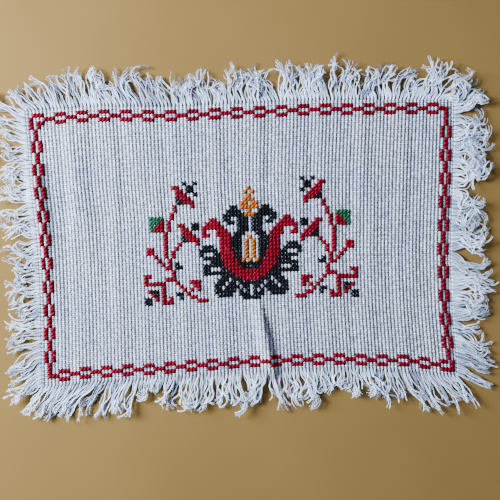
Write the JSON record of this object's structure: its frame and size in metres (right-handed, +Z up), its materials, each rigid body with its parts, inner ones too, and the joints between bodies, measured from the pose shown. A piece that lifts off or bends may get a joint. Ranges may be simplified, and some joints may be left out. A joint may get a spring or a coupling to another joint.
{
  "type": "placemat",
  "caption": "Rectangular placemat of white block-weave cotton with a self-fringe on all sides, a red cross-stitch chain border and a folk flower spray in the middle, lying flat.",
  "frame": {"origin": "middle of the whole outline, fringe included, on the surface that the mat lies on", "axes": "+X along the long side to the right, +Y along the short side to the upper edge, +Z up out of the face"},
  "size_m": [0.4234, 0.3076, 0.005],
  "materials": {
    "cotton_cloth": "matt white cotton in an open block weave with raised ribs, a little bluish",
    "cotton_fringe": "loose plied white cotton yarns with opened, curly tips",
    "red_thread": "stranded cotton thread with a soft sheen",
    "black_thread": "stranded cotton thread with a soft sheen",
    "gold_thread": "stranded cotton thread with a soft sheen",
    "green_thread": "stranded cotton thread with a soft sheen"
  },
  "bodies": {
    "root": {"cloth": "cotton_cloth", "fringe_top": "cotton_fringe", "fringe_bottom": "cotton_fringe", "fringe_left": "cotton_fringe", "fringe_right": "cotton_fringe"}
  },
  "joints": []
}
